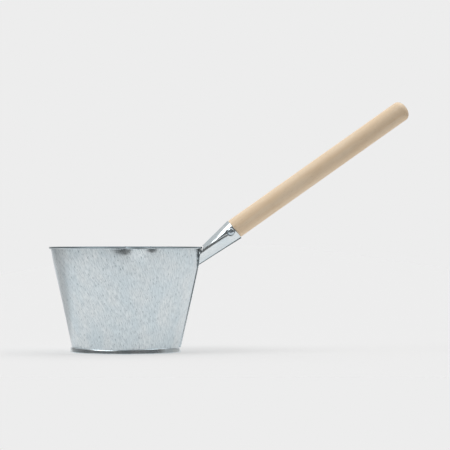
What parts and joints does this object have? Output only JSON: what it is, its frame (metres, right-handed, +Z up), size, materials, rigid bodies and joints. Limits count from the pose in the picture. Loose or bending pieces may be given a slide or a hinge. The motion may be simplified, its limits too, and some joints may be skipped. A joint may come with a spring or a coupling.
{
  "type": "feed scoop",
  "caption": "Tapered bowl of galvanised sheet with a wired rim, a pressed pouring lip and a slanting round wooden handle screwed into a rolled sheet socket.",
  "frame": {"origin": "on the surface the scoop stands on, below the middle of its overall length; the bowl's axis is the vertical line through x = -0.1422, y = 0", "axes": "+X along the scoop from the bowl to the handle's end, +Z up, -Y the side that the pouring lip is on"},
  "size_m": [0.496, 0.2122, 0.3443],
  "materials": {
    "galvanised_sheet": "hot-dip galvanised sheet, pale blue-grey, softly reflective, with fine streaks",
    "steel_wire": "plain drawn steel wire, hidden in the rim",
    "zinc_plated_steel": "bright zinc plate",
    "pale_wood": "pale close-grained hardwood, turned and sanded, unvarnished"
  },
  "bodies": {
    "root": {"bowl_wall": "galvanised_sheet", "rim_wire": "steel_wire", "bottom_plate": "galvanised_sheet", "handle_socket": "galvanised_sheet", "socket_rivet_near": "zinc_plated_steel", "socket_rivet_far": "zinc_plated_steel", "handle_screw": "zinc_plated_steel", "wooden_handle": "pale_wood"}
  },
  "joints": []
}
